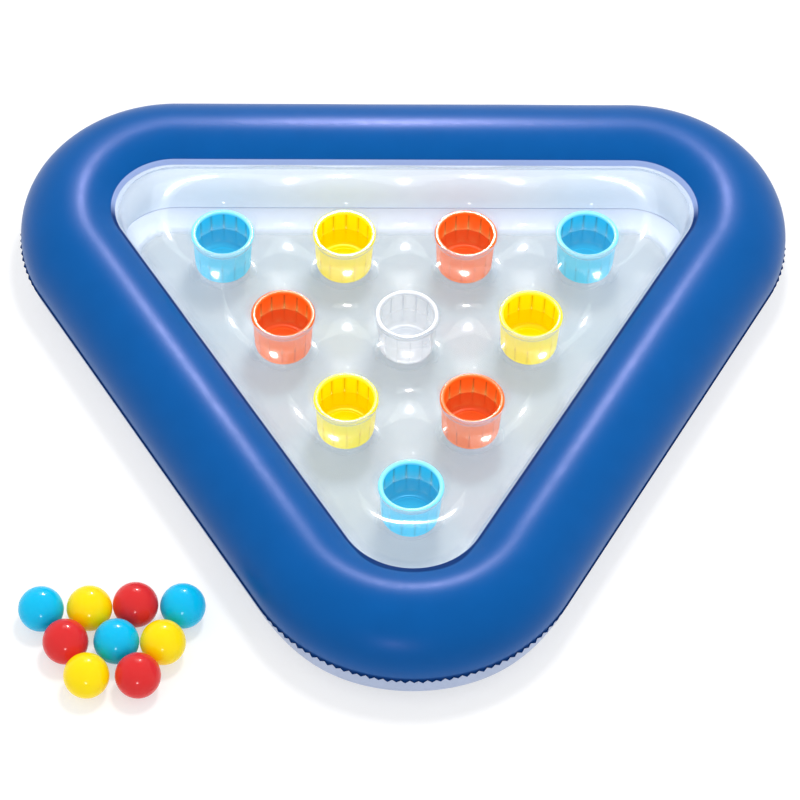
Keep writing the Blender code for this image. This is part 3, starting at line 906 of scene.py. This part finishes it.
def cup_profile():
    """Rows (radius, height, flat, cut, painted crease shade, lip, painted deep shade, hatch) from
    the base to the floor.
    """
    rows = []
    top = RIM_Z - BASE_Z
    lip_out, lip_in = CUP_R + 0.0023, 0.0405
    inner = CUP_R - CUP_WALL

    def row(radius, depth, flat=0.0, cut=0.0, crease_shade=0.0, lip=0.0, deep_shade=0.0, hatch=0.0):
        rows.append((radius, top - depth, flat, cut, crease_shade, lip, deep_shade, hatch))

    # Base with its rounded edge
    for radius in (0.0, 0.020, 0.0375):
        row(radius, top)
    for share, left, gone in quarter(5):
        row(CUP_R - 0.0032 - 0.0036 * left, top - 0.0036 * gone, flat=0.3 * share,
            crease_shade=0.2 * share)
    # Outer wall up to the neck
    for depth in np.linspace(0.062, 0.012, 14):
        row(CUP_R - 0.0026 * (depth - 0.0085) / 0.0535, depth, flat=0.6, cut=0.5,
            crease_shade=0.45 * float(smooth((depth - 0.02) / 0.02)), hatch=float(depth < 0.039))
    row(CUP_R, 0.0095, flat=0.2, hatch=1.0)
    row(CUP_R, 0.0068)
    row(CUP_R + 0.0004, 0.0058, lip=0.3)
    # Rolled lip
    for share, left, _ in quarter(6):
        row(lip_out - 0.0014 * left, 0.0052 - 0.0018 * share, lip=0.8)
    for _, left, gone in quarter(6):
        row(lip_out - 0.0022 * gone, 0.0022 * left, lip=1.0)
    row(0.0440, 0.0001, lip=1.0)
    for _, left, gone in quarter(6):
        row(lip_in + 0.0020 * left, 0.0020 * gone + 0.00005, lip=1.0)
    row(lip_in, 0.0038, lip=0.8)
    row(lip_in + 0.0006, 0.0052, lip=0.5)
    # Inner wall with its flat panels down to the ledge
    row(inner - 0.0009, 0.0062, flat=0.3, lip=0.2)
    row(inner - 0.0003, 0.0072, flat=1.0, cut=0.3, crease_shade=0.3)
    # Painted shade deepens down the inner wall
    for depth in np.linspace(0.0085, 0.0385, 9):
        row(inner - 0.0003 * depth / 0.04, depth, flat=1.0, cut=1.0, crease_shade=1.0,
            deep_shade=0.5 * depth / 0.0385)
    row(inner - 0.0003, 0.0396, flat=1.0, cut=1.0, crease_shade=1.0, deep_shade=0.6)
    row(inner - 0.0006, 0.0402, flat=1.0, cut=0.6, crease_shade=0.9, deep_shade=1.0)
    row(inner - 0.0012, 0.0410, flat=1.0, cut=0.3, crease_shade=0.5, deep_shade=1.0)
    # Inner wall below the ledge
    for depth in np.linspace(0.043, 0.0645, 6):
        fade = 1 - (depth - 0.043) / 0.0215
        row(inner - 0.0012 - 0.0016 * (depth - 0.041) / 0.0235, depth, flat=fade, cut=0.25 * fade,
            crease_shade=0.35 * fade, deep_shade=1.0)
    # Floor with its round mark
    floor = top - CUP_WALL
    for _, left, gone in quarter(5, 0.2):
        row(inner - 0.0028 - 0.0035 * gone, floor - 0.0035 * left, deep_shade=1.0)
    for radius, rise, deep_shade in ((0.0310, 0.0, 1.0), (0.0300, 0.0004, 0.9), (0.0290, 0.0005, 0.6),
                               (0.0280, 0.0004, 0.9), (0.0270, 0.0, 1.0), (0.014, 0.0, 1.0),
                               (0.0, 0.0, 1.0)):
        row(radius, floor - rise, deep_shade=deep_shade)
    return np.array(rows)


def cup(name, x, y):
    """Cup with a rolled lip and flat creased panels inside and out."""
    colour = name.split("_")[2]
    local = math.pi / PANELS
    offsets = np.array([0.0, 0.016, 0.034, 0.085, 0.155, 0.2244, 0.2938, 0.3638, 0.4148, 0.4328])
    turn = np.concatenate([2 * local * k + offsets for k in range(PANELS)])
    within = np.tile(offsets, PANELS)
    polygon = math.cos(local) / np.cos(np.abs(within - local))
    close = np.minimum(within, 2 * local - within)
    angle = deg(90 - CREASES[name]) - turn
    table = cup_profile()
    column = [table[:, k, None] for k in range(8)]
    radius = (column[0] * (1 + column[2] * (polygon - 1))
              + column[3] * CREASE_DEPTH * bell(close, 0.020))
    points = np.stack([radius * np.cos(angle), radius * np.sin(angle),
                       np.broadcast_to(column[1], radius.shape)], -1)
    walls, around = len(table) - 2, len(turn)
    points, faces = close_ends(points[1:-1].reshape(-1, 3),
                               grid_faces(walls, around, wrap_rows=False).tolist(), around,
                               table[0, 1], table[-1, 1])
    # Painted shade along the creases, inside and out
    crease_shade = column[4] * 0.8 * bell(close, 0.030)
    attributes = {"crease_shade": np.append(crease_shade[1:-1], [0, 0]),
                  "run": np.append(np.tile(turn * CUP_R, walls), [0, 0])}
    for key, index, floor in (("lip", 5, 0), ("deep_shade", 6, 1), ("hatch", 7, 0)):
        attributes[key] = np.append(np.repeat(table[1:-1, index], around), [0, floor])
    piece(name.replace("cup_", "cup_wall_"), points, faces, cup_materials[colour], "float", name,
          attributes, (x, y, BASE_Z))


# Balls

def ball(name):
    """Hollow ball with a pin hole below and a faint mould seam round it."""
    _, index, colour = name.split("_")
    low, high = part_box(name)
    turn = full_turn(72)
    around = len(turn)
    hole = math.asin(PIN_HOLE_R / BALL_R)
    seam = math.pi / 2
    angles = np.concatenate([np.linspace(hole, math.pi - 0.03, 40),
                             seam + np.array([-0.03, -0.012, 0.0, 0.012, 0.03])])
    angles = np.sort(angles)
    radii = BALL_R + BALL_SEAM * bell(angles - seam, 0.010)
    lining = BALL_R - BALL_WALL
    rows = np.array([(r * math.sin(a), -r * math.cos(a)) for r, a in zip(radii, angles)])
    rows_in = np.array([(lining * math.sin(a), -lining * math.cos(a))
                        for a in np.linspace(math.pi - 0.03, hole * 1.04, 16)])
    points = np.concatenate([turned(rows, turn).reshape(-1, 3),
                             turned(rows_in, turn).reshape(-1, 3),
                             [[0, 0, BALL_R], [0, 0, lining]]])
    inside = len(rows) * around
    faces = grid_faces(len(rows), around, wrap_rows=False)[:, ::-1].tolist()
    faces += (grid_faces(len(rows_in), around, wrap_rows=False)[:, ::-1] + inside).tolist()
    last, lowest, top = inside - around, len(points) - 2 - around, len(points) - 2
    for k in range(around):
        after = (k + 1) % around
        faces.append((last + k, last + after, top))
        faces.append((inside + after, inside + k, top + 1))
        faces.append((k, lowest + k, lowest + after, after))
    centre = ((low[0] + high[0]) / 2, (low[1] + high[1]) / 2, BALL_R)
    piece(name.replace("ball_", "ball_shell_"), points, faces, ball_materials[colour],
          f"ball_{index}", name, None, centre, 40)


# Valves

def lathe(profile, around, close=False):
    """Points and faces of a profile of (radius, height) turned about Z."""
    points = turned(np.array(profile), full_turn(around)).reshape(-1, 3)
    return points, grid_faces(len(profile), around, wrap_rows=close).tolist()


def rounded(corners, radius, closed=True):
    """Outline with its corners rounded off."""
    made = []
    count = len(corners)
    for k, corner in enumerate(corners):
        if not closed and k in (0, count - 1):
            made.append(corner)
            continue
        here = np.array(corner)
        before = np.array(corners[k - 1]) - here
        after = np.array(corners[(k + 1) % count]) - here
        reach = min(radius, np.linalg.norm(before) * 0.45, np.linalg.norm(after) * 0.45)
        start = here + before / np.linalg.norm(before) * reach
        end = here + after / np.linalg.norm(after) * reach
        for share in np.linspace(0, 1, 4):
            made.append(tuple((1 - share) ** 2 * start + 2 * share * (1 - share) * here
                              + share ** 2 * end))
    return made


def block(low, high, edge):
    """Block with bevelled edges as points and faces."""
    low, high = np.array(low), np.array(high)
    middle, half = (low + high) / 2, (high - low) / 2
    corners = []
    for axis in range(3):
        for signs in np.ndindex(2, 2, 2):
            inset = np.full(3, edge)
            inset[axis] = 0
            corners.append(middle + (np.array(signs) * 2 - 1) * (half - inset))

    def at(axis, x, y, z):
        return axis * 8 + x * 4 + y * 2 + z

    faces = []
    for axis in range(3):
        for side in (0, 1):
            ring = []
            for a, b in ((0, 0), (1, 0), (1, 1), (0, 1)):
                index = [0, 0, 0]
                index[axis] = side
                index[(axis + 1) % 3], index[(axis + 2) % 3] = a, b
                ring.append(at(axis, *index))
            faces.append(ring if side else ring[::-1])
    for axis in range(3):
        first, second = (axis + 1) % 3, (axis + 2) % 3
        for a, b in ((0, 0), (0, 1), (1, 0), (1, 1)):
            index = [0, 0, 0]
            index[first], index[second] = a, b
            other = list(index)
            other[axis] = 1
            ring = [at(first, *index), at(second, *index), at(second, *other), at(first, *other)]
            faces.append(ring if a != b else ring[::-1])
    for signs in np.ndindex(2, 2, 2):
        ring = [at(axis, *signs) for axis in range(3)]
        faces.append(ring if sum(signs) % 2 else ring[::-1])
    return np.array(corners), faces


def valve_piece(name, seat, parts, body, node_name):
    """Piece from parts of (points, faces), moved onto the valve's seat."""
    points, faces = [], []
    for more_points, more_faces in parts:
        start = len(points)
        points += [tuple(seat @ Vector(p)) for p in more_points]
        faces += [[index + start for index in face] for face in more_faces]
    piece(name, points, faces, valve_clear, body, node_name)


def valve(prefix, seat, body):
    """Valve tube with its flange and post, and the plug on its strap, closed."""
    bore, stem, flange, foot = 0.00405, 0.0055, 0.0105, -0.012
    base = 0.0003
    top = base + 0.0008
    collar = top + 0.00025
    outline = rounded([(bore, foot), (stem, foot), (stem, base), (flange, base), (flange, top),
                       (0.0066, top), (0.0064, collar), (bore + 0.0003, collar), (bore, top)],
                      0.00025)
    post = block((0.0091, -0.00275, base + 0.0004), (0.0099, 0.00275, top + 0.0007), 0.0002)
    valve_piece(f"{prefix}_tube", seat, [lathe(outline, 48, close=True), post], "float",
                f"{prefix}_body")
    low = top + 0.0003
    cap, dish = low + 0.0014, low + 0.0010
    plug = rounded([(0.0, low - 0.004), (0.0032, low - 0.004), (0.0035, low), (0.0057, low),
                    (0.0057, cap), (0.0034, cap), (0.0030, dish), (0.0, dish)], 0.0003,
                   closed=False)
    strap = block((0.0045, -0.002, low), (0.0088, 0.002, low + 0.0008), 0.00025)
    tab = block((-0.0085, -0.0016, low + 0.0002), (-0.005, 0.0016, low + 0.0011), 0.0003)
    points, faces = lathe(plug[1:-1], 48)
    plug = close_ends(points, faces, 48, plug[0][1], plug[-1][1])
    valve_piece(f"{prefix}_plug", seat, [plug, strap, tab], body, f"{prefix}_stopper")


# Stage

def area_light(name, target, azimuth, elevation, distance, size, power, colour=(1, 1, 1),
               glossy=True, diffuse=True, spread=180):
    """Lamp on a sphere round a target; azimuth 0 is behind the float, positive to the right."""
    light = bpy.data.lights.new(name, "AREA")
    light.spread = deg(spread)
    light.shape = "RECTANGLE"
    light.size, light.size_y = size
    light.energy = power
    light.color = colour
    item = new_object(name, light)
    a, e = deg(azimuth), deg(elevation)
    way = Vector((math.sin(a) * math.cos(e), math.cos(a) * math.cos(e), math.sin(e)))
    item.location = Vector(target) + way * distance
    item.rotation_euler = way.to_track_quat("Z", "Y").to_euler()
    item.visible_glossy = glossy
    item.visible_diffuse = diffuse
    item.visible_camera = False


def seen_rays(tree):
    """1 for the rays that show the background: camera, glossy and transmission."""
    rays = node(tree, "ShaderNodeLightPath").outputs
    seen = math_node("MAXIMUM", rays["Is Camera Ray"], rays["Is Glossy Ray"])
    return math_node("MAXIMUM", seen, rays["Is Transmission Ray"])


def stage():
    """Pale floor that is white where the camera, a gloss or a clear film shows it."""
    made, tree, shader = shader_of("paper")
    feed(shader, {"Base Color": (0.86, 0.86, 0.86, 1.0), "Roughness": 0.9,
                  "Specular IOR Level": 0.0})
    flat = node(tree, "ShaderNodeBsdfDiffuse", {"Color": (0.5, 0.5, 0.5, 1.0)})
    glow = node(tree, "ShaderNodeEmission", {"Color": WHITE, "Strength": 0.56})
    seen = node(tree, "ShaderNodeAddShader", {0: flat.outputs[0], 1: glow.outputs[0]})
    show(mix_shader(seen_rays(tree), shader, seen))
    half, level = 12, -0.0004
    points = [(-half, -half, level), (half, -half, level), (half, half, level),
              (-half, half, level)]
    new_object("floor", new_mesh("floor", points, [(0, 1, 2, 3)], made))


def world():
    """Even light grey sky, white where it is seen."""
    made = bpy.data.worlds.new("studio")
    bpy.context.scene.world = made
    made.use_nodes = True
    tree = made.node_tree
    white = mix_colour(seen_rays(tree), (0.8, 0.8, 0.8, 1.0), WHITE)
    feed(tree.nodes["Background"], {"Color": white})


def camera():
    """Camera of the photo: aimed at the float, then turned by the fitted angles."""
    data = bpy.data.cameras.new("camera")
    data.lens = 160.7
    data.sensor_width = 36.0
    data.sensor_fit = "HORIZONTAL"
    item = new_object("camera", data)
    target = Vector((0.0, 0.0917, 0.120))
    item.location = target + Vector((-0.163, -3.397, 4.072))
    aim = (target - item.location).to_track_quat("-Z", "Y").to_matrix()
    for angle, axis in ((2.22, "Z"), (-1.38, "X"), (0.1155, "Y")):
        aim = aim @ Matrix.Rotation(deg(angle), 3, axis)
    item.rotation_euler = aim.to_euler()
    bpy.context.scene.camera = item


# Build

# The ring's dark navy tone is painted shade along its hem, lower brink and flange
ring_blue = vinyl("ring_blue", (0.0012, 0.098, 0.36), 0.34, tint=(0.5, 0.46, 1.0), level=0.14,
                  hem=(0.34, 0.44, 0.75), shade_tone=(0.003, 0.035, 0.17))
ring_white = vinyl("ring_white", (0.50, 0.58, 0.78), 0.4, level=0.1)
# The strip's weld tone is a painted shade tone and its glow is a painted glow
wall_white = clear_film("wall_white", (0.66, 0.72, 0.80), 0.9, 0.98, 0.05, roughness=0.3,
                        shine=(0.005, 0.05), weld_and_painted_tone=(0.34, 0.40, 0.50), glow=0.4)
film_clear = clear_film("film_clear", (0.60, 0.69, 0.78), 0.045, 0.38, 0.14)
# The low film's pale weld tone paints light on its edge band; its glow is a painted glow
film_low = clear_film("film_low", (0.36, 0.46, 0.54), 0.27, 0.6, 0.62, roughness=0.18,
                      shine=(0.014, 0.06), weld_and_painted_tone=(0.82, 0.87, 0.98), glow=0.15,
                      touch_shade_share=0.07)
valve_clear = vinyl("valve_clear", (0.75, 0.80, 0.88), 0.22, soft=0.3)
# Each cup: its colour, a darker painted shade tone for deep inside it, and its lip tone
cup_materials = {
    # The blue cup's paler lip tone is partly a painted highlight and partly its rolled double vinyl
    "blue": cup_vinyl("cup_blue", (0.04, 0.58, 0.85), (0.045, 0.41, 0.61), (0.22, 0.72, 0.89)),
    "yellow": cup_vinyl("cup_yellow", (0.98, 0.83, 0.002), (0.93, 0.60, 0.0), (0.96, 0.80, 0.03)),
    "orange": cup_vinyl("cup_orange", (1.0, 0.17, 0.014), (0.68, 0.10, 0.016),
                        (0.86, 0.15, 0.015)),
    "clear": clear_cup("cup_clear"),
}
# The balls' glow is a painted glow, standing in for light through their thin shells
ball_materials = {
    key: vinyl(f"ball_{key}", colour, 0.14, 0.02, skin_bump=0.02, soft=0.4, glow=glow, level=0.16)
    for key, colour, glow in (("blue", (0.003, 0.53, 0.88), 0.06),
                              ("yellow", (0.96, 0.70, 0.002), 0.14),
                              ("red", (0.70, 0.028, 0.03), 0.11))
}

fine = ring_plan(0.008, 4)
ring_top(fine)
ring_bottom(fine)
coarse = ring_plan(0.012, 1)
ring_wall(coarse)
cups = cup_places()
top_film(coarse, cups)
low_film(coarse, cups)
for cup_name, (cup_x, cup_y) in cups.items():
    cup(cup_name, cup_x, cup_y)
for node_name in frame["nodes"]:
    if node_name.startswith("ball_"):
        ball(node_name)

ring_seat = (Matrix.Translation((VALVE_X, BACK_Y + BACK_R + FLAT_REACH, CENTRE_Z))
             @ Matrix.Rotation(deg(-90), 4, "X"))
low_seat_z = CENTRE_Z + (TUBE + 0.00045) * math.cos(LOW_WELD) - FILM / 2
low_seat = (Matrix.Translation((0.0, LOW_VALVE_Y, low_seat_z))
            @ Matrix.Rotation(math.pi, 4, "X"))
valve("ring_valve", ring_seat, "ring_stopper")
valve("mattress_valve", low_seat, "mattress_stopper")

stage()
world()
camera()
middle = (0.0, 0.0, 0.08)
area_light("key", (0.0, 0.45, 0.16), 1.5, 51.5, 2.66, (0.27, 0.27), 9, LAMP, diffuse=False,
           spread=47)
area_light("halo", middle, 1.5, 46.0, 6.0, (3.4, 2.4), 95, LAMP, diffuse=False)
area_light("front", middle, 188, 14, 3.0, (0.3, 0.3), 16, diffuse=False)
area_light("above", middle, 20, 81, 3.0, (0.5, 0.5), 38, (1.0, 0.99, 0.97), glossy=False)

scene = bpy.context.scene
scene.view_settings.view_transform = "Standard"
scene.cycles.transparent_max_bounces = 32
